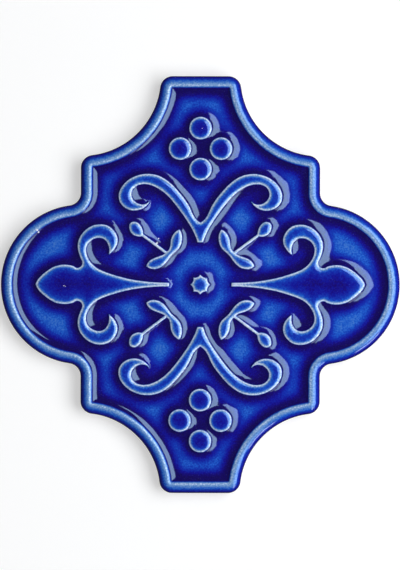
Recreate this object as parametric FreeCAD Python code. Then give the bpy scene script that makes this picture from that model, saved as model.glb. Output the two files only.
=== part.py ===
import FreeCAD
import Part

import math
import os

# A glazed relief wall tile with a lantern outline, pressed in one piece. It lies on its flat back.
# The origin is the centre of the back, +Z points up out of the decorated face, +Y runs between the
# two straight ends and +X points at one of the two round lobes. Sizes are in millimetres.

# Outline
tile_length = 156.8  # over the two straight ends, along Y
side_half_width = 45.0  # from the centre to a short straight side, and to a lobe's centre
lobe_radius = 30.0  # round lobe on each side
cove_inset = 0.5  # a cove is a neighbour's lobe, drawn in by this much
corner_radius = 4.8  # every corner and hollow of the outline, seen from above

# Section
field_height = 7.2  # back to the sunk field
relief_height = 1.8  # field to the top of the rim and of the ornament
rim_width = 4.4  # outer edge to the field
field_corner_radius = 0.4  # the field's pointed corners, seen from above
shoulder_round = 3.2  # rounded outer edge of the rim
crest_round = 0.5  # rounded inner edge of the rim
rounding_share = 0.8  # the most of the rim or of a corner that the shoulder may take up

# Half of the field that the ornament is drawn for. On another field, the drawing stretches to fit.
drawn_half_width = 70.6
drawn_half_length = 74.0

# Star at the centre
star_points = 8
star_tip_radius = 3.6
star_waist_radius = 2.9

# Group of four round bosses near each end
boss_radius = 4.15
boss_pitch = 7.7  # from the group's centre to each boss
boss_group_y = 51.1

# Palmette on the X axis: its upper half, from the tip near the lobe to the end of its stem
palmette_leaf = [(61.8, 0.0), (60.9, 1.8), (58.5, 4.2), (54.8, 6.6), (51.0, 7.3), (47.6, 6.7)]
palmette_notch = [(47.6, 6.7), (44.9, 6.6), (44.4, 8.9)]
palmette_curl_outside = [
    (44.4, 8.9), (45.6, 11.9), (46.0, 14.6), (45.2, 17.7), (43.3, 20.2), (40.7, 21.9), (37.8, 22.5),
    (34.9, 22.0), (32.5, 20.1), (31.2, 17.3), (31.4, 15.1), (32.6, 13.0), (34.3, 11.4),
]
palmette_curl_inside = [
    (34.3, 11.4), (34.2, 13.6), (34.9, 15.7), (36.4, 17.2), (38.2, 17.6), (40.4, 17.0), (42.3, 15.3),
    (43.0, 13.0), (42.5, 10.5), (41.1, 8.1), (38.8, 6.0), (35.0, 4.3), (30.2, 2.8), (22.8, 1.3),
    (15.2, 0.65), (11.8, 0.6),
]

# Double scroll above the star: its right arm, from the notch between the arms round the curl to the foot
scroll_outside = [
    (0.0, 23.2), (2.1, 25.0), (4.0, 28.8), (7.7, 34.2), (11.4, 38.1), (15.3, 40.6), (19.9, 41.5),
    (24.7, 40.5), (28.4, 38.0), (30.5, 34.4), (30.3, 31.2), (27.8, 28.6), (24.3, 27.9), (21.3, 28.9),
    (19.2, 31.1),
]
scroll_inside = [
    (19.2, 31.1), (21.4, 30.0), (24.4, 30.9), (26.0, 33.9), (24.8, 36.6), (21.3, 37.8), (17.3, 36.9),
    (13.6, 34.6), (10.0, 30.9), (6.6, 26.4), (3.3, 21.3), (1.0, 16.0),
]

# Sprig between the palmette and the scroll: a pair of leaves, a thin stem and a bud
leaves_back = [
    (7.9, 20.6), (7.0, 18.4), (7.0, 16.4), (8.0, 13.8), (10.4, 11.5), (12.6, 8.7), (14.9, 6.6),
    (17.3, 5.9), (20.2, 6.9),
]
low_leaf_front = [(20.2, 6.9), (18.8, 9.0), (16.4, 10.2), (14.0, 11.1), (12.4, 12.4)]
high_leaf_front = [(12.4, 12.4), (11.4, 13.8), (11.0, 16.6), (10.1, 18.8), (7.9, 20.6)]
stem_start = (12.8, 11.9)
stem_end = (22.6, 19.2)
stem_width = 0.8
bud_outline = [
    (21.5, 18.4), (21.8, 20.6), (23.0, 22.6), (24.7, 23.5), (26.3, 22.9), (26.6, 21.1), (25.6, 19.1),
    (23.8, 18.2), (21.5, 18.4),
]

# What follows from these sizes
top_height = field_height + relief_height
x_stretch = (side_half_width + lobe_radius - rim_width) / drawn_half_width
y_stretch = (tile_length / 2 - rim_width) / drawn_half_length
centre = FreeCAD.Vector(0, 0, 0)
along_x = FreeCAD.Vector(1, 0, 0)
along_y = FreeCAD.Vector(0, 1, 0)
along_z = FreeCAD.Vector(0, 0, 1)
tolerance = 1e-6


def flat(x, y):
    return FreeCAD.Vector(x, y, 0)


def drawn(place):
    """A point of the ornament's drawing, stretched to fit the field."""
    return flat(place[0] * x_stretch, place[1] * y_stretch)


def line(start, end):
    return Part.LineSegment(start, end).toShape()


def arc(start, middle, end):
    return Part.Arc(start, middle, end).toShape()


def arc_about(hub, start, end):
    """The short way round a centre from one point to another."""
    towards = (start - hub) + (end - hub)
    return arc(start, hub + towards.normalize() * (start - hub).Length, end)


def curve(places):
    """A smooth curve through points of the drawing."""
    spline = Part.BSplineCurve()
    spline.interpolate([drawn(place) for place in places])
    return spline.toShape()


def mirrored(shapes, normal):
    return [shape.mirror(centre, normal) for shape in shapes]


def closed_face(edges):
    return Part.Face(Part.Wire(Part.__sortEdges__(edges)))


def level_edges(solid, height):
    """The edges of a solid that lie level at one height."""
    def is_level(box):
        return abs(box.ZMin - height) < tolerance and abs(box.ZMax - height) < tolerance

    return [edge for edge in solid.Edges if is_level(edge.BoundBox)]


def outline_quarter(inset, outer_r):
    """Edges of the outline from the +Y end to the tip of the +X lobe, drawn in by inset."""
    end_y = tile_length / 2 - inset
    side_x = side_half_width - inset
    lobe = flat(side_half_width, 0)
    lobe_r = lobe_radius - inset
    cove = flat(side_half_width - cove_inset, tile_length / 2 - cove_inset)
    cove_r = lobe_radius - cove_inset + inset
    hollow_r = corner_radius + inset

    # Corner between the end and the cove
    y = end_y - outer_r
    end_corner = flat(cove.x - math.sqrt((cove_r + outer_r) ** 2 - (y - cove.y) ** 2), y)
    end_stop = flat(end_corner.x, end_y)
    cove_start = cove + (end_corner - cove) * (cove_r / (cove_r + outer_r))

    # Corner between the cove and the side
    x = side_x - outer_r
    side_corner = flat(x, cove.y - math.sqrt((cove_r + outer_r) ** 2 - (x - cove.x) ** 2))
    cove_stop = cove + (side_corner - cove) * (cove_r / (cove_r + outer_r))
    side_start = flat(side_x, side_corner.y)

    # Hollow between the side and the lobe
    x = side_x + hollow_r
    hollow = flat(x, math.sqrt((lobe_r + hollow_r) ** 2 - (x - lobe.x) ** 2))
    side_stop = flat(side_x, hollow.y)
    lobe_start = lobe + (hollow - lobe) * (lobe_r / (lobe_r + hollow_r))

    return [
        line(flat(0, end_y), end_stop),
        arc_about(end_corner, end_stop, cove_start),
        arc_about(cove, cove_start, cove_stop),
        arc_about(side_corner, cove_stop, side_start),
        line(side_start, side_stop),
        arc_about(hollow, side_stop, lobe_start),
        arc_about(lobe, lobe_start, lobe + flat(lobe_r, 0)),
    ]


def outline_face(inset, outer_r):
    right = outline_quarter(inset, outer_r)
    right += mirrored(right, along_y)
    return closed_face(right + mirrored(right, along_x))


def body():
    """The tile without its ornament: a block with a rounded shoulder and a sunk field."""
    outline = outline_face(0, corner_radius)
    block = outline.extrude(along_z * top_height)
    shoulder = min(shoulder_round, rounding_share * rim_width, rounding_share * corner_radius)
    block = block.makeFillet(shoulder, level_edges(block, top_height))
    field = outline_face(rim_width, field_corner_radius)
    field.translate(along_z * field_height)
    rim = block.cut(field.extrude(along_z * relief_height))
    outer_edge = outline.translated(along_z * top_height).OuterWire
    past_shoulder = (shoulder + rim_width) / 2
    crest = [e for e in level_edges(rim, top_height) if outer_edge.distToShape(e)[0] > past_shoulder]
    return rim.makeFillet(crest_round, crest)


def raised(face):
    """A prism from inside the body up to the top of the relief."""
    root = field_height / 2
    return face.translated(along_z * root).extrude(along_z * (top_height - root))


def star_face():
    edges = []
    for number in range(star_points):
        places = []
        for share, radius in ((0, star_tip_radius), (0.5, star_waist_radius), (1, star_tip_radius)):
            angle = 2 * math.pi * (number + share) / star_points
            places.append(flat(radius * math.cos(angle), radius * math.sin(angle)))
        edges.append(arc(*places))
    return closed_face(edges)


def boss_faces():
    hub = drawn((0, boss_group_y))
    steps = [(boss_pitch, 0), (-boss_pitch, 0), (0, boss_pitch), (0, -boss_pitch)]
    return [Part.Face(Part.Wire(Part.makeCircle(boss_radius, hub + flat(x, y)))) for x, y in steps]


def palmette_face():
    upper = [
        curve(palmette_leaf),
        arc(*[drawn(place) for place in palmette_notch]),
        curve(palmette_curl_outside),
        curve(palmette_curl_inside),
    ]
    stem_x, stem_y = palmette_curl_inside[-1]
    stem_foot = line(drawn((stem_x, stem_y)), drawn((stem_x, -stem_y)))
    return closed_face(upper + mirrored(upper, along_y) + [stem_foot])


def scroll_face():
    arm = [curve(scroll_outside), curve(scroll_inside)]
    foot_x, foot_y = scroll_inside[-1]
    foot = line(drawn((foot_x, foot_y)), drawn((-foot_x, foot_y)))
    return closed_face(arm + mirrored(arm, along_x) + [foot])


def stem_face():
    start = drawn(stem_start)
    end = drawn(stem_end)
    along = (end - start).normalize()
    across = flat(-along.y, along.x) * (stem_width / 2)
    corners = [start + across, end + across, end - across, start - across, start + across]
    return Part.Face(Part.makePolygon(corners))


def sprig():
    leaves = closed_face([curve(leaves_back), curve(low_leaf_front), curve(high_leaf_front)])
    bud = closed_face([curve(bud_outline)])
    return [raised(leaves), raised(stem_face()), raised(bud)]


def ornament():
    """Every raised motif: a half or a quarter is drawn and the rest is mirrored."""
    upper = [raised(face) for face in [scroll_face()] + boss_faces()]
    right = [raised(palmette_face())]
    half = sprig()
    half += mirrored(half, along_x)
    motifs = [raised(star_face())] + upper + right + half
    return motifs + mirrored(upper + half, along_y) + mirrored(right, along_x)


def tile():
    return body().fuse(ornament()).removeSplitter()


os.makedirs("parts", exist_ok=True)
solid = tile()
print("valid", solid.isValid(), "solids", len(solid.Solids), "volume mm3", round(solid.Volume, 1))
solid.exportStep("parts/tile.step")
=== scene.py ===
import math

import bpy
import numpy as np
from mathutils import Matrix, Vector
from mathutils.geometry import delaunay_2d_cdt


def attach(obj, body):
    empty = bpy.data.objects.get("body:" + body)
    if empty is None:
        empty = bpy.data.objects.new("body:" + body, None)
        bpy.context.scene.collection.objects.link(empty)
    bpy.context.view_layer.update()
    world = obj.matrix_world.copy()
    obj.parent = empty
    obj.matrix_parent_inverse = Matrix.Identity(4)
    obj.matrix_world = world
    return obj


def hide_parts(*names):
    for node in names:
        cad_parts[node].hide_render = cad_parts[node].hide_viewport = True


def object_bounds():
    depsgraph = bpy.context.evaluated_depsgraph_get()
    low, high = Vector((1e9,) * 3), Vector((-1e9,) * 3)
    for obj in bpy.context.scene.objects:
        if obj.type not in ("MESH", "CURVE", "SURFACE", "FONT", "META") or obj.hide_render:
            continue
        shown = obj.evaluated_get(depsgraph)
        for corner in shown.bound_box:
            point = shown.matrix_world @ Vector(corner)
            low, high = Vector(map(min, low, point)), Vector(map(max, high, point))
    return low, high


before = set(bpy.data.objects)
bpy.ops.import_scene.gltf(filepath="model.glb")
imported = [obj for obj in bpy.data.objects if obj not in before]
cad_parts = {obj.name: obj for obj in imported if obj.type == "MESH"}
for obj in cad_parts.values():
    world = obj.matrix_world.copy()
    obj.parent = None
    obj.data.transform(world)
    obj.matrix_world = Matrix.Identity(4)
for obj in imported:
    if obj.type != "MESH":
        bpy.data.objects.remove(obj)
cadBox = [list(corner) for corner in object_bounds()]
mm = 0.001
print("frame loaded, box", cadBox)


# Outlines of the pressed body, read from the frame

outlineSet = {
    "weld": 1e-7,  # corners this near are one
    "sameHeight": 1e-6,  # and heights this near
    "level": 0.9999,  # a face whose normal is this upright is level
    "step": 0.45 * mm,  # along an outline
    "cornerTurn": math.radians(32),  # a sharper turn is a real corner
    "straight": 4,  # a chord this many times its neighbour's length is a straight stretch
    "cell": 3 * mm,  # block of points that shares one list of near outline pieces
    "rimReach": 1.5,  # a loop within this many rim widths of the outer edge is the rim's
    "roundness": 0.97,  # a loop this near to a circle is a boss
    "doublings": 16,  # passes a label round a loop of up to 65,000 points
    "tie": 1e-6,  # share of a piece's own side that settles a draw between two
    "tiny": 1e-12,  # keeps a division from failing
    "noArea": 1e-30,  # and one by the area of a flat triangle
}


def weldedTriangles(node):
    # the node's loose triangles, with equal corners given one number
    mesh = node.data
    mesh.calc_loop_triangles()
    corners = np.empty(len(mesh.vertices) * 3)
    mesh.vertices.foreach_get("co", corners)
    triangles = np.empty(len(mesh.loop_triangles) * 3, np.int32)
    mesh.loop_triangles.foreach_get("vertices", triangles)
    steps = np.round(corners.reshape(-1, 3) / outlineSet["weld"]).astype(np.int64)
    places, number = np.unique(steps, axis=0, return_inverse=True)
    return places * outlineSet["weld"], number.ravel()[triangles].reshape(-1, 3)


def levelTriangles(places, triangles, facing):
    # triangles that lie level and face up (1) or down (-1)
    a, b, c = (places[triangles[:, k]] for k in range(3))
    normal = np.cross(b - a, c - a)
    upright = normal[:, 2] / np.maximum(np.linalg.norm(normal, axis=1), outlineSet["noArea"])
    return triangles[upright * facing > outlineSet["level"]]


def borderEdges(triangles, count):
    # an edge is on the border when no triangle uses it the other way round
    edges = triangles[:, [[0, 1], [1, 2], [2, 0]]].reshape(-1, 2)
    forward = edges[:, 0].astype(np.int64) * count + edges[:, 1]
    backward = edges[:, 1].astype(np.int64) * count + edges[:, 0]
    return edges[~np.isin(forward, backward)]


def smoothOutline(places, edges):
    # cubic through the border's corners: a piece leaves a corner along the mean of the two chords there,
    # along the straight stretch where there is one, or along its own chord where the border turns sharply
    edgeCount = len(edges)
    fromPlace = np.zeros(len(places), np.int64)
    fromPlace[edges[:, 0]] = np.arange(edgeCount)
    after = fromPlace[edges[:, 1]]
    before = np.empty(edgeCount, np.int64)
    before[after] = np.arange(edgeCount)
    start, end = places[edges[:, 0], :2], places[edges[:, 1], :2]
    length = np.linalg.norm(end - start, axis=1)
    chord = (end - start) / length[:, None]
    mean = chord[before] * length[:, None] + chord * length[before][:, None]
    mean /= np.linalg.norm(mean, axis=1)[:, None]
    longer = length[before] / length
    mean = np.where((longer > outlineSet["straight"])[:, None], chord[before], mean)
    mean = np.where((longer * outlineSet["straight"] < 1)[:, None], chord, mean)
    sharp = np.sum(chord[before] * chord, axis=1) < math.cos(outlineSet["cornerTurn"])
    leave = np.where(sharp[:, None], chord, mean) * length[:, None]
    arrive = np.where(sharp[after][:, None], chord, mean[after]) * length[:, None]
    count = np.maximum(np.round(length / outlineSet["step"]).astype(np.int64), 1)
    first = np.cumsum(count) - count
    piece = np.repeat(np.arange(edgeCount), count)
    t = ((np.arange(len(piece)) - first[piece]) / count[piece])[:, None]
    place = ((2 * t**3 - 3 * t**2 + 1) * start[piece] + (t**3 - 2 * t**2 + t) * leave[piece]
             + (3 * t**2 - 2 * t**3) * end[piece] + (t**3 - t**2) * arrive[piece])
    follow = np.arange(len(piece)) + 1
    follow[first + count - 1] = first[after]
    ahead = place[follow] - place
    ahead /= np.linalg.norm(ahead, axis=1)[:, None]
    behind = np.empty_like(ahead)
    behind[follow] = ahead
    left = np.stack([-(ahead + behind)[:, 1], (ahead + behind)[:, 0]], 1)
    left /= np.linalg.norm(left, axis=1)[:, None] + outlineSet["tiny"]
    return {"place": place, "follow": follow, "left": left}


def distanceLeft(outline, query):
    # distance from each point to the nearest piece of an outline, positive on the left of its direction;
    # points are taken block by block, each with the pieces that can be nearest to it, which are those less
    # than a block's diagonal and a piece's length farther from its middle than the nearest one
    start = outline["place"]
    along = start[outline["follow"]] - start
    length2 = np.sum(along**2, axis=1)
    middle = start + along / 2
    cell = outlineSet["cell"]
    block, member = np.unique(np.floor(query / cell), axis=0, return_inverse=True)
    order = np.argsort(member.ravel(), kind="stable")
    bounds = np.searchsorted(member.ravel()[order], np.arange(len(block) + 1))
    distance = np.empty(len(query))
    for number, corner in enumerate(block):
        who = order[bounds[number]:bounds[number + 1]]
        reach = np.linalg.norm(middle - (corner + 0.5) * cell, axis=1)
        near = np.flatnonzero(reach < reach.min() + 1.5 * cell + math.sqrt(length2.max()))
        away = query[who][:, None] - start[near][None]
        share = np.clip(np.sum(away * along[near], axis=2) / length2[near], 0, 1)
        gap2 = np.sum((away - share[..., None] * along[near]) ** 2, axis=2)
        side = along[near][:, 0] * away[..., 1] - along[near][:, 1] * away[..., 0]
        # at a shared corner, the piece that faces the point wins
        tie = outlineSet["tie"] * side**2 / length2[near]
        best = np.argmin(gap2 - tie, axis=1)[:, None]
        gap = np.sqrt(np.take_along_axis(gap2, best, 1))
        distance[who] = (np.sign(np.take_along_axis(side, best, 1)) * gap)[:, 0]
    return distance


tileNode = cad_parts["tile"]
cadPlaces, cadTriangles = weldedTriangles(tileNode)
levelUp = levelTriangles(cadPlaces, cadTriangles, 1)
levelHeights = cadPlaces[levelUp[:, 0], 2]
fieldZ = levelHeights.min()
topZ = levelHeights.max()
fieldFace = levelUp[np.abs(levelHeights - fieldZ) < outlineSet["sameHeight"]]
backFace = levelTriangles(cadPlaces, cadTriangles, -1)[:, ::-1]
outerOutline = smoothOutline(cadPlaces, borderEdges(backFace, len(cadPlaces)))  # tile on the left


def insideEdge(query):
    # distance in from the tile's outer edge
    return distanceLeft(outerOutline, query)


def someLoops(outline, keep):
    # the loops of an outline whose points are kept, numbered afresh
    number = np.cumsum(keep) - 1
    return {
        "place": outline["place"][keep],
        "follow": number[outline["follow"][keep]],
        "left": outline["left"][keep],
    }


fieldOutline = smoothOutline(cadPlaces, borderEdges(fieldFace, len(cadPlaces)))  # field on the left
fromEdge = insideEdge(fieldOutline["place"])
byRim = fromEdge < outlineSet["rimReach"] * fromEdge.min()
rimOutline = someLoops(fieldOutline, byRim)
ornamentOutline = someLoops(fieldOutline, ~byRim)
print("outlines read: rim", len(rimOutline["place"]), "points, ornament", len(ornamentOutline["place"]))


def onRim(query):
    # signed distance to the rim's inner edge, positive on the rim
    return -distanceLeft(rimOutline, query)


def onOrnament(query):
    # signed distance to the nearest ornament's edge, positive on the ornament
    return -distanceLeft(ornamentOutline, query)


def roundLoops(outline):
    # points of loops that are nearly circles: 4 pi times the area is close to the square of the length;
    # each loop is labelled by its lowest point
    place, follow = outline["place"], outline["follow"]
    label, jump = np.arange(len(place)), follow
    for turn in range(outlineSet["doublings"]):
        label = np.minimum(label, label[jump])
        jump = jump[jump]
    ahead = place[follow]
    length = np.bincount(label, np.linalg.norm(ahead - place, axis=1), len(place))
    area = np.bincount(label, (place[:, 0] * ahead[:, 1] - place[:, 1] * ahead[:, 0]) / 2, len(place))
    return 4 * math.pi * np.abs(area[label]) > outlineSet["roundness"] * length[label] ** 2


bossOutline = someLoops(ornamentOutline, roundLoops(ornamentOutline))
print("points on bosses", len(bossOutline["place"]))


def onBoss(query):
    # signed distance to the nearest round boss, positive on it
    return -distanceLeft(bossOutline, query)


# The glazed face: height and depth of glaze follow from the distance to the relief's edge

glazedFace = {
    # slope of the rim and of an ornament's top, uphill, by distance in from the edge (mm)
    "rimSlope": (
        (-2.45, 0), (-2.05, 0.10), (-1.7, 0.19), (-1.25, 0.31), (-0.75, 0.42), (-0.25, 0.49), (-0.1, 1.3),
        (0.1, 1.3), (0.25, 0.50), (0.7, 0.43), (1.1, 0.29), (1.4, 0.16), (1.7, 0.09), (2.2, 0),
    ),
    "crownSlope": (
        (-0.8, 0.85), (0, 0.75), (0.2, 0.5), (0.6, 0.36), (0.9, 0.26), (1.2, 0.17), (1.5, 0.10),
        (1.9, 0.05), (3.0, 0),
    ),
    # depth of glaze by the same distance, 0 where it breaks off an edge and 1 where it pools
    "ornamentDepth": (
        (0, 0.0), (0.3, 0.01), (0.55, 0.11), (0.85, 0.28), (1.1, 0.42), (1.5, 0.49), (1.9, 0.54),
        (2.3, 0.59), (2.6, 0.63), (3.0, 0.67), (3.4, 0.70), (5.0, 0.79), (7.3, 0.86),
    ),
    "bossDepth": (
        (0, 0.0), (0.3, 0.02), (0.55, 0.15), (0.85, 0.36), (1.1, 0.51), (1.5, 0.61), (1.9, 0.66),
        (2.3, 0.70), (3.4, 0.77), (4.2, 0.78),
    ),
    "rimDepth": (
        (0, 0.62), (0.2, 0.40), (0.4, 0.22), (0.7, 0.10), (1.1, 0.10), (1.5, 0.17), (1.9, 0.25),
        (2.3, 0.31), (2.65, 0.39), (3.0, 0.50), (3.4, 0.62), (4.4, 0.97),
    ),
    "fieldDepth": (
        (0, 0.97), (1.6, 0.96), (2.2, 0.92), (2.8, 0.85), (3.2, 0.77), (3.76, 0.67), (4.33, 0.56),
        (4.9, 0.47), (5.3, 0.43), (6.0, 0.39), (6.8, 0.37), (8.3, 0.36),
    ),
    "edgeFall": (-0.05 * mm, 0.27 * mm),  # where the pale edge gives way to the field, going out
    "poolReach": (0.96, 1.1),  # a distance from the rim and from an ornament counts this many times
    "poolSpread": 0.7 * mm,
    # depth of the pool by the share of raised ground round about: it fills up where relief hems it in
    "hemDepth": (
        (0, 0.36), (0.01, 0.37), (0.023, 0.38), (0.048, 0.44), (0.09, 0.58), (0.16, 0.80), (0.25, 0.94),
        (0.31, 1.0),
    ),
    "hemSpread": 3.0 * mm,
    "hemShare": (0.55, 0.9),  # how much this counts where it thins the pool, and where it fills it
    "reliefTop": 1.75 * mm,  # field to the top of the ornament, with the glaze
    "filletHeight": 1.18 * mm,  # how far the glaze climbs an ornament's side
    "filletReach": 1.55 * mm,  # and how far out it falls off
    "filletTurns": 120,
    # a thin stem holds less of it: none and all of it at these shares of raised ground round about
    "cling": (0.0, 0.42),
    "clingSpread": 1.0 * mm,
    "wall": (-0.65 * mm, 0.05 * mm),  # where the fillet gives way to the ornament's top
    "shoulder": 2.9 * mm,  # rounded outer edge of the rim: how far it drops
    "shoulderWidth": 3.6 * mm,
    "swell": 0.012 * mm,  # slow unevenness of the glaze
    "swellLength": (6 * mm, 15 * mm),
    "swellWaves": 14,
    "swellSeed": 5,
    "swellEdge": 2 * mm,  # it fades out over this much at the outer edge
    "slopeSteps": 1200,  # for adding up slopes
    "pitch": 0.3 * mm,  # grid for what spreads
    "margin": 12 * mm,  # grid beyond the tile
    "soften": 0.4 * mm,
    "exactBand": (0.85 * mm, 1.6 * mm),  # exact nearer to an edge than this, softened farther off
    "rowsOnRelief": np.array([0.0, 0.12, 0.28, 0.48, 0.72, 1.0, 1.35, 1.75]) * mm,
    "rowsOnField": np.array([0.1, 0.22, 0.36, 0.52, 0.72, 1.0, 1.4, 1.9, 2.5, 3.2]) * mm,
    "rowsOnShoulder": np.array([0.05, 0.14, 0.28, 0.5, 0.8, 1.15, 1.55, 2.0, 2.45]) * mm,
    "rowSlack": 0.03 * mm,  # a row's point that is farther off its distance is dropped
    "rowGap": 0.15 * mm,  # between the rows on the shoulder and the others
    "sparseFrom": 1.2 * mm,  # rows farther from an edge keep every other point
    "openSpacing": 1.1 * mm,  # of the net between the rows
    "openRatio": 0.866,  # of its lines to its columns, so that its triangles are even
    "openGap": (0.55, 0.4),  # spacings from the last row to the net, on the field and on an ornament
    # rows down the side: inset, height (mm) and depth of glaze
    "wallRows": (
        (0, 4.9, 0.95), (0, 3.6, 0.88), (0, 2.4, 0.74), (0, 1.5, 0.58), (0, 0.45, 0.5), (0.06, 0.2, 0.5),
        (0.2, 0.06, 0.5), (0.45, 0, 0.5),
    ),
    "backSpacing": 5 * mm,
    "backEdge": 2.5 * mm,  # kept clear inside the back's outline
    "backDepth": 0.9,
    "merge": 1e-9,  # points of a plan this near are one
}


def ease(low, high, value):
    # smooth step from 0 to 1
    t = np.clip((value - low) / (high - low), 0, 1)
    return t * t * (3 - 2 * t)


def byDistance(pairs, onto):
    # straight lines between pairs of distance (mm) and value
    at, value = np.array(pairs).T
    return np.interp(onto, at * mm, value)


def climb(slopes, onto):
    # slopes added up from the lowest listed distance to the given one
    at, slope = np.array(slopes).T
    fine = np.linspace(at[0], at[-1], glazedFace["slopeSteps"])
    steep = np.interp(fine, at, slope)
    height = np.concatenate([[0], np.cumsum((steep[1:] + steep[:-1]) / 2 * np.diff(fine))])
    return np.interp(onto, fine * mm, height * mm)


def crown(ornament):
    # an ornament's top falls away from its middle to its edge
    slopes = glazedFace["crownSlope"]
    return glazedFace["reliefTop"] - climb(slopes, slopes[-1][0] * mm) + climb(slopes, ornament)


def swell(query):
    # the sum of a few long waves that run in different directions
    g = glazedFace
    draw = np.random.default_rng(g["swellSeed"])
    length = draw.uniform(*g["swellLength"], g["swellWaves"])
    heading = draw.uniform(0, 2 * math.pi, g["swellWaves"])
    phase = draw.uniform(0, 2 * math.pi, g["swellWaves"])
    along = query @ np.stack([np.cos(heading), np.sin(heading)])
    waves = np.sin(2 * math.pi * along / length + phase)
    return g["swell"] * waves.mean(axis=1) * math.sqrt(2 * g["swellWaves"])


def fillet(covered, ornament, cling):
    # glaze that clings to the ornament: fixed where the ornament stands, lower where that is thin, and
    # elsewhere the mean of its four neighbours less a small share, so it falls off and fills inner corners
    g = glazedFace
    height = g["filletHeight"] * np.exp(np.minimum(ornament, 0) / g["filletReach"])
    share = 4 + (g["pitch"] / g["filletReach"]) ** 2
    for turn in range(g["filletTurns"]):
        around = sum(np.roll(height, step, axis) for step in (-1, 1) for axis in (0, 1))
        height = covered * cling * g["filletHeight"] + (1 - covered) * around / share
    return height


def spreadGrid():
    # what the glaze does round about, on a grid over the tile
    g = glazedFace
    low = np.array(cadBox[0][:2]) - g["margin"]
    high = np.array(cadBox[1][:2]) + g["margin"]
    shape = np.ceil((high - low) / g["pitch"]).astype(int)
    x = low[0] + g["pitch"] * np.arange(shape[0])
    y = low[1] + g["pitch"] * np.arange(shape[1])
    query = np.stack(np.meshgrid(x, y, indexing="ij"), 2).reshape(-1, 2)
    rim, ornament = onRim(query).reshape(shape), onOrnament(query).reshape(shape)
    waveX = np.fft.fftfreq(shape[0], g["pitch"])[:, None]
    waveY = np.fft.rfftfreq(shape[1], g["pitch"])[None]

    def spread(values, by):
        # Gaussian blur
        bell = np.exp(-2 * (math.pi * by) ** 2 * (waveX**2 + waveY**2))
        return np.fft.irfft2(np.fft.rfft2(values) * bell, s=shape)

    # share of each cell that the ornament covers, then that any relief does
    standing = np.clip(0.5 + ornament / g["pitch"], 0, 1)
    ground = np.clip(0.5 + np.maximum(rim, ornament) / g["pitch"], 0, 1)
    # depth of the pool by distance from the relief, moved towards its depth by how hemmed in it is
    away = np.minimum(-rim * g["poolReach"][0], -ornament * g["poolReach"][1])
    pool = spread(byDistance(g["fieldDepth"], away), g["poolSpread"])
    hemmed = np.interp(spread(ground, g["hemSpread"]), *np.array(g["hemDepth"]).T)
    hemShare = np.where(hemmed > pool, g["hemShare"][1], g["hemShare"][0])
    print("glaze spread over", shape[0], "by", shape[1], "cells")
    return {
        "low": low,
        "pool": pool + hemShare * (hemmed - pool),
        "fillet": fillet(standing, ornament, ease(*g["cling"], spread(standing, g["clingSpread"]))),
        "crown": spread(crown(ornament), g["soften"]),
        "rim": spread(climb(g["rimSlope"], rim), g["soften"]),
    }


def sampled(grid, name, query):
    # reading of a grid by cubic B-spline: sixteen cells, each weighted by its distance in both directions
    values = grid[name]
    where = (query - grid["low"]) / glazedFace["pitch"]
    whole = np.floor(where).astype(int)
    t = where - whole
    inner = (3 * t**3 - 6 * t**2 + 4, 3 * t + 3 * t**2 - 3 * t**3 + 1)
    weights = np.stack([(1 - t) ** 3, *inner, t**3]) / 6
    total = np.zeros(len(query))
    for i in range(4):
        for j in range(4):
            cell = values[whole[:, 0] + i - 1, whole[:, 1] + j - 1]
            total += weights[i, :, 0] * weights[j, :, 1] * cell
    return total


def faceHeight(query, rim, ornament, inside, grid):
    # rim plus ornament, each exact near its edge and softened away from it,
    # less the quarter ellipse of the outer shoulder
    g = glazedFace
    offRim = ease(*g["exactBand"], np.abs(rim))
    rimRise = climb(g["rimSlope"], rim) * (1 - offRim) + sampled(grid, "rim", query) * offRim
    offTop = ease(*g["exactBand"], ornament)
    top = crown(ornament) * (1 - offTop) + sampled(grid, "crown", query) * offTop
    onTop = ease(*g["wall"], ornament)
    ornamentRise = sampled(grid, "fillet", query) * (1 - onTop) + top * onTop
    over = np.clip(1 - inside / g["shoulderWidth"], 0, 1)
    drop = g["shoulder"] * (1 - np.sqrt(1 - over**2))
    height = topZ - g["reliefTop"] + rimRise + ornamentRise - drop
    waves = (swell(query) - 2 * g["swell"]) * ease(0, g["swellEdge"], inside)
    return np.minimum(height + waves, topZ)


def glazeDepth(query, rim, ornament, grid):
    # thin at an edge and on open ground, deep beside the relief and in the middle of an ornament
    g = glazedFace
    nearRim = rim > ornament
    raised = byDistance(g["ornamentDepth"], ornament)
    raised = np.where(onBoss(query) > 0, byDistance(g["bossDepth"], ornament), raised)
    raised = np.where(nearRim, byDistance(g["rimDepth"], rim), raised)
    fall = ease(*g["edgeFall"], -np.where(nearRim, rim, ornament))
    return raised * (1 - fall) + sampled(grid, "pool", query) * fall


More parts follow.
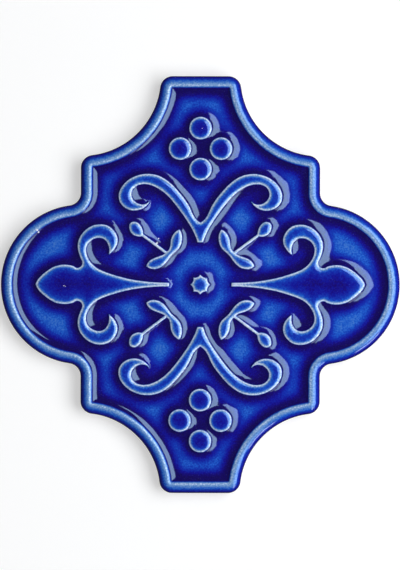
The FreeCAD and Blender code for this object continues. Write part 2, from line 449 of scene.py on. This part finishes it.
def facePoints():
    # rows of points that keep to one distance from an outline, and an open net between them
    g = glazedFace
    groups = [outerOutline["place"]]
    for row in g["rowsOnShoulder"]:
        place = outerOutline["place"] + outerOutline["left"] * row
        groups.append(place[np.abs(insideEdge(place) - row) < g["rowSlack"]])
    for row in np.concatenate([g["rowsOnRelief"], -g["rowsOnField"]]):
        place = fieldOutline["place"] - fieldOutline["left"] * row
        if abs(row) > g["sparseFrom"]:
            place = place[::2]
        onto = np.maximum(onRim(place), onOrnament(place))
        place = place[np.abs(onto - row) < g["rowSlack"]]
        groups.append(place[insideEdge(place) > g["rowsOnShoulder"][-1] + g["rowGap"]])
    spacing = g["openSpacing"]
    columns = np.arange(cadBox[0][0], cadBox[1][0], spacing)
    lines = np.arange(cadBox[0][1], cadBox[1][1], spacing * g["openRatio"])
    net = np.stack(np.meshgrid(columns, lines, indexing="ij"), 2)
    net[:, 1::2, 0] += spacing / 2
    net = net.reshape(-1, 2)
    ornament, inside = onOrnament(net), insideEdge(net)
    openField = np.maximum(onRim(net), ornament) < -(g["rowsOnField"][-1] + g["openGap"][0] * spacing)
    openTop = ornament > g["rowsOnRelief"][-1] + g["openGap"][1] * spacing
    groups.append(net[(openField | openTop) & (inside > 0)])
    return np.concatenate(groups)


def filled(points, loop):
    # Delaunay triangles inside a closed loop of the first points, all turned to face up
    corners = [Vector(point) for point in points.tolist()]
    found = delaunay_2d_cdt(corners, loop.tolist(), [], 1, glazedFace["merge"], False)
    places = np.array(found[0])
    triangles = np.array(found[2])
    a, b, c = (places[triangles[:, k]] for k in range(3))
    turn = (b - a)[:, 0] * (c - a)[:, 1] - (b - a)[:, 1] * (c - a)[:, 0]
    triangles[turn < 0] = triangles[turn < 0][:, ::-1]
    return places, triangles[insideEdge((a + b + c) / 3) > 0]


def glazedTile():
    # one closed skin: the face as a height over its plan, the side as rings of the outline, and the back
    g = glazedFace
    grid = spreadGrid()
    edgeCount = len(outerOutline["place"])
    loop = np.stack([np.arange(edgeCount), outerOutline["follow"]], 1)
    plan, faceTriangles = filled(facePoints(), loop)
    rim, ornament, inside = onRim(plan), onOrnament(plan), np.maximum(insideEdge(plan), 0)
    inside[:edgeCount] = 0
    face = np.column_stack([plan, faceHeight(plan, rim, ornament, inside, grid)])
    depth = [glazeDepth(plan, rim, ornament, grid)]

    # wall: the outer outline carried down, and in under the bottom edge
    groups, triangles = [face], [faceTriangles]
    above, total = np.arange(edgeCount), len(face)
    for inset, height, deep in g["wallRows"]:
        ring = outerOutline["place"] + outerOutline["left"] * inset * mm
        groups.append(np.column_stack([ring, np.full(edgeCount, height * mm)]))
        depth.append(np.full(edgeCount, deep))
        below = total + np.arange(edgeCount)
        total += edgeCount
        nextAbove, nextBelow = above[outerOutline["follow"]], below[outerOutline["follow"]]
        triangles.append(np.stack([above, below, nextBelow], 1))
        triangles.append(np.stack([above, nextBelow, nextAbove], 1))
        above = below

    # back: the last ring filled level
    columns, lines = (np.arange(cadBox[0][k], cadBox[1][k], g["backSpacing"]) for k in (0, 1))
    net = np.stack(np.meshgrid(columns, lines), 2).reshape(-1, 2)
    net = net[insideEdge(net) > g["backEdge"]]
    backPlan, backTriangles = filled(np.concatenate([groups[-1][:, :2], net]), loop)
    extra = backPlan[edgeCount:]
    groups.append(np.column_stack([extra, np.zeros(len(extra))]))
    depth.append(np.full(len(extra), g["backDepth"]))
    number = np.concatenate([above, total + np.arange(len(extra))])
    triangles.append(number[backTriangles][:, ::-1])

    places, triangles, depth = (np.concatenate(part) for part in (groups, triangles, depth))
    return meshPiece("glazed_tile", places, triangles, depth)


def meshPiece(name, places, triangles, depth):
    # a smooth mesh that carries the depth of glaze at each point
    mesh = bpy.data.meshes.new(name)
    mesh.from_pydata(places, [], triangles)
    carried = mesh.attributes.new("glazeDepth", "FLOAT", "POINT")
    carried.data.foreach_set("value", depth.astype(np.float32))
    mesh.polygons.foreach_set("use_smooth", np.ones(len(triangles), bool))
    mesh.update()
    piece = bpy.data.objects.new(name, mesh)
    bpy.context.scene.collection.objects.link(piece)
    print(name, "has", len(places), "points and", len(triangles), "triangles")
    return piece


# Cobalt glaze over a pale fired body

cobaltGlaze = {
    # colour by depth of glaze, as seen (0 to 255)
    "colours": (
        (0.00, (216, 229, 255)),
        (0.06, (176, 202, 239)),
        (0.13, (126, 166, 218)),
        (0.28, (68, 123, 206)),
        (0.39, (30, 96, 208)),
        (0.50, (18, 60, 186)),
        (0.62, (16, 40, 172)),
        (0.75, (16, 17, 154)),
        (0.88, (20, 6, 120)),
        (1.00, (18, 4, 92)),
    ),
    "cloud": 170.0,  # slow change of depth
    "cloudAmount": 0.12,
    "speck": 1500.0,  # fine change of depth
    "speckAmount": 0.42,
    "grain": 2600.0,  # bubbles in the glaze
    "grainRange": (0.62, 0.85),
    "grainAmount": 0.06,
    "grainColour": (190, 208, 250),
    "roughness": 0.06,
    "refraction": 1.5,
    "bareColour": (220, 208, 190),
    "bareShade": (192, 176, 154),
    "bareGrain": 420.0,
    "bareRoughness": 0.8,
    "bareLine": (2.45 * mm, 2.15 * mm),  # glaze stops between these heights, less the waver
    "waver": 90.0,
    "waverHeight": 1.6 * mm,
    # small pinholes and nick marks in the glaze, and painted highlights where small beads of glaze catch
    # the light: place on the face and radius (mm)
    "nicksAndHighlights": (
        (-61.3, 20.4, 0.42), (-60.8, 19.6, 0.34), (-51.3, -0.5, 0.2), (-50.7, -0.8, 0.16),
        (-16.4, 15.5, 0.45), (-15.7, 17.3, 0.25), (0.6, 58.7, 0.16),
    ),
    "nickAndHighlightReach": 1.4,  # ragged edge: the noise takes up to one radius off this many
    # colour of the pale spots: pinholes and nick marks, and painted highlights
    "nickAndHighlightColour": (232, 238, 250),
}


def asSeen(colour):
    # display values to the linear ones that shaders use
    c = np.array(colour) / 255
    return tuple(np.where(c <= 0.04045, c / 12.92, ((c + 0.055) / 1.055) ** 2.4)) + (1.0,)


def maths(tree, operation, *values):
    # a Math node on links and fixed numbers
    node = tree.nodes.new("ShaderNodeMath")
    node.operation = operation
    for socket, value in zip(node.inputs, values):
        if isinstance(value, (int, float)):
            socket.default_value = value
        else:
            tree.links.new(value, socket)
    return node.outputs[0]


def glazeMaterial():
    # colour by depth of glaze, unevened by noise, then bubbles, pale spots (nick marks and painted
    # highlights) and the bare body laid over it
    g = cobaltGlaze
    material = bpy.data.materials.new("cobaltGlaze")
    material.use_nodes = True
    tree = material.node_tree
    nodes, links = tree.nodes, tree.links
    shader = nodes["Principled BSDF"]
    shader.inputs["IOR"].default_value = g["refraction"]
    coords = nodes.new("ShaderNodeTexCoord")

    def noise(scale, detail):
        # noise on the piece's own coordinates
        node = nodes.new("ShaderNodeTexNoise")
        node.inputs["Scale"].default_value = scale
        node.inputs["Detail"].default_value = detail
        links.new(coords.outputs["Object"], node.inputs["Vector"])
        return node.outputs["Fac"]

    def ranged(value, low, high, top):
        # 0 at the low value, rising evenly to the top at the high one
        node = nodes.new("ShaderNodeMapRange")
        node.inputs["From Min"].default_value = low
        node.inputs["From Max"].default_value = high
        node.inputs["To Max"].default_value = top
        links.new(value, node.inputs["Value"])
        return node.outputs[0]

    def mix(share, first, second):
        # the first colour giving way to the second; each is a link or a colour as seen
        node = nodes.new("ShaderNodeMix")
        node.data_type = "RGBA"
        links.new(share, node.inputs["Factor"])
        for socket, colour in ((node.inputs["A"], first), (node.inputs["B"], second)):
            if isinstance(colour, tuple):
                socket.default_value = asSeen(colour)
            else:
                links.new(colour, socket)
        return node.outputs["Result"]

    depth = nodes.new("ShaderNodeAttribute")
    depth.attribute_name = "glazeDepth"
    mottled = maths(tree, "MULTIPLY_ADD", noise(g["cloud"], 2), g["cloudAmount"], depth.outputs["Fac"])
    mottled = maths(tree, "MULTIPLY_ADD", noise(g["speck"], 2), g["speckAmount"], mottled)
    mottled = maths(tree, "SUBTRACT", mottled, (g["cloudAmount"] + g["speckAmount"]) / 2)
    ramp = nodes.new("ShaderNodeValToRGB")
    links.new(mottled, ramp.inputs["Fac"])
    steps = ramp.color_ramp.elements
    while len(steps) < len(g["colours"]):
        steps.new(0.5)
    for step, (at, colour) in zip(steps, g["colours"]):
        step.position = at
        step.color = asSeen(colour)

    # fine pale bubbles
    grain = noise(g["grain"], 1)
    bubbles = ranged(grain, *g["grainRange"], g["grainAmount"])
    bubbled = mix(bubbles, ramp.outputs["Color"], g["grainColour"])

    # pale spots within each radius of its place: partly nick marks and pinholes in the glaze, partly
    # painted highlights on small beads of glaze
    flat = nodes.new("ShaderNodeVectorMath")
    flat.operation = "MULTIPLY"
    links.new(coords.outputs["Object"], flat.inputs[0])
    flat.inputs[1].default_value = (1, 1, 0)
    nickAndHighlightSpots = None
    for x, y, radius in g["nicksAndHighlights"]:
        gap = nodes.new("ShaderNodeVectorMath")
        gap.operation = "DISTANCE"
        links.new(flat.outputs[0], gap.inputs[0])
        gap.inputs[1].default_value = (x * mm, y * mm, 0)
        uneven = maths(tree, "MULTIPLY_ADD", grain, radius * mm, gap.outputs["Value"])
        inside = maths(tree, "LESS_THAN", uneven, g["nickAndHighlightReach"] * radius * mm)
        nickAndHighlightSpots = inside if nickAndHighlightSpots is None else maths(tree, "MAXIMUM", nickAndHighlightSpots, inside)
    spotted = mix(nickAndHighlightSpots, bubbled, g["nickAndHighlightColour"])

    # bare body under a wavering glaze line
    height = nodes.new("ShaderNodeSeparateXYZ")
    links.new(coords.outputs["Object"], height.inputs[0])
    line = maths(tree, "MULTIPLY_ADD", noise(g["waver"], 2), g["waverHeight"], height.outputs["Z"])
    bare = ranged(line, *g["bareLine"], 1.0)
    body = mix(noise(g["bareGrain"], 6), g["bareShade"], g["bareColour"])
    links.new(mix(bare, spotted, body), shader.inputs["Base Color"])
    rougher = g["bareRoughness"] - g["roughness"]
    links.new(maths(tree, "MULTIPLY_ADD", bare, rougher, g["roughness"]), shader.inputs["Roughness"])
    return material


tile = glazedTile()
tile.data.materials.append(glazeMaterial())
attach(tile, "root")
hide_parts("tile")
print("tile glazed")


# Floor, light and camera

studio = {
    "floorSize": 4.0,
    "floorGap": 0.02 * mm,  # under the back
    "floorColour": (190, 190, 190),
    "floorRoughness": 0.9,
    "floorGlow": 0.55,  # as seen, so that the ground is white round the shadow
    "softboxTilt": math.radians(34.9),  # from straight above, towards +X
    "softboxSpin": math.radians(22.7),  # about its own axis
    "softboxAway": 1.0,
    "softboxSize": (0.676, 1.078),
    "keyWatts": 12.0,
    "glintWatts": 21.5,
    "glintNearer": 0.03,  # so that the key's panel doesn't cover it
    "glintColour": (0.45, 0.68, 0.95),
    "stripHeading": math.radians(-47),  # low strip that draws the bright line on the outer edge
    "stripTilt": math.radians(64),
    "stripSize": (0.20, 0.36),
    "stripWatts": 2.6,
    "stripColour": (0.72, 0.84, 1.0),
    "ambient": 0.08,
}


def floorPiece():
    # a level square that is lit as a grey one and glows where it is seen
    half, low = studio["floorSize"] / 2, -studio["floorGap"]
    corners = [(-half, -half, low), (half, -half, low), (half, half, low), (-half, half, low)]
    mesh = bpy.data.meshes.new("floor")
    mesh.from_pydata(corners, [], [(0, 1, 2, 3)])
    floor = bpy.data.objects.new("floor", mesh)
    bpy.context.scene.collection.objects.link(floor)
    material = bpy.data.materials.new("paleFloor")
    material.use_nodes = True
    tree = material.node_tree
    shader = tree.nodes["Principled BSDF"]
    shader.inputs["Base Color"].default_value = asSeen(studio["floorColour"])
    shader.inputs["Roughness"].default_value = studio["floorRoughness"]
    shader.inputs["Emission Color"].default_value = (1, 1, 1, 1)
    ray = tree.nodes.new("ShaderNodeLightPath").outputs
    seen = maths(tree, "MAXIMUM", ray["Is Camera Ray"], ray["Is Glossy Ray"])
    seen = maths(tree, "MAXIMUM", seen, ray["Is Transmission Ray"])
    glow = maths(tree, "MULTIPLY", seen, studio["floorGlow"])
    tree.links.new(glow, shader.inputs["Emission Strength"])
    mesh.materials.append(material)
    floor.visible_glossy = False  # keeps the tile's outline dark


def panel(name, size, watts, colour, away, tilt, heading, spin):
    # a rectangular lamp that faces the tile, tilted from straight above towards a heading
    light = bpy.data.lights.new(name, "AREA")
    light.shape = "RECTANGLE"
    light.size, light.size_y = size
    light.energy = watts
    light.color = colour
    lamp = bpy.data.objects.new(name, light)
    turned = Matrix.Rotation(heading, 4, "Z") @ Matrix.Rotation(tilt, 4, "Y")
    lamp.matrix_world = turned @ Matrix.Translation((0, 0, away)) @ Matrix.Rotation(spin, 4, "Z")
    bpy.context.scene.collection.objects.link(lamp)
    return lamp


def studioLight():
    # a softbox that lights, the same one again for reflections only, a low strip and a dim white room
    s = studio
    away, near = s["softboxAway"], s["softboxAway"] - s["glintNearer"]
    turn = (s["softboxTilt"], 0, s["softboxSpin"])
    key = panel("key", s["softboxSize"], s["keyWatts"], (1, 1, 1), away, *turn)
    key.visible_glossy = False
    glint = panel("glint", s["softboxSize"], s["glintWatts"], s["glintColour"], near, *turn)
    glint.visible_diffuse = False
    turn = (s["stripTilt"], s["stripHeading"], 0)
    strip = panel("strip", s["stripSize"], s["stripWatts"], s["stripColour"], away, *turn)
    strip.visible_diffuse = False
    world = bpy.data.worlds.new("dimRoom")
    bpy.context.scene.world = world
    world.use_nodes = True
    room = world.node_tree.nodes["Background"].inputs
    room["Strength"].default_value = s["ambient"]
    room["Color"].default_value = (1, 1, 1, 1)


photoView = {
    "widthPixels": 400,
    "tileCentre": (200.3, 284.6),  # in the 400 by 570 frame
    "frameCentre": (200, 285),
    "pixelsPerMetre": 199.4 / (75 * mm),
    "roll": math.radians(0.11),
    "away": 2.0,
    "sensorWidth": 36,
    "clipEnd": 20,
}


def photoCamera():
    # straight above, at the lens that gives the photo's scale on the tile's outer edge
    v = photoView
    lens = bpy.data.cameras.new("photoCamera")
    camera = bpy.data.objects.new("photoCamera", lens)
    bpy.context.scene.collection.objects.link(camera)
    lens.sensor_fit = "HORIZONTAL"
    lens.sensor_width = v["sensorWidth"]
    lens.lens = v["sensorWidth"] * v["away"] / (v["widthPixels"] / v["pixelsPerMetre"])
    lens.clip_end = v["clipEnd"]
    offset = (np.array(v["frameCentre"]) - v["tileCentre"]) / v["pixelsPerMetre"]
    camera.location = (offset[0], -offset[1], v["away"] + topZ - glazedFace["shoulder"])
    camera.rotation_euler = (0, 0, v["roll"])
    bpy.context.scene.camera = camera


floorPiece()
studioLight()
photoCamera()
bpy.context.scene.view_settings.view_transform = "Standard"
print("studio set")
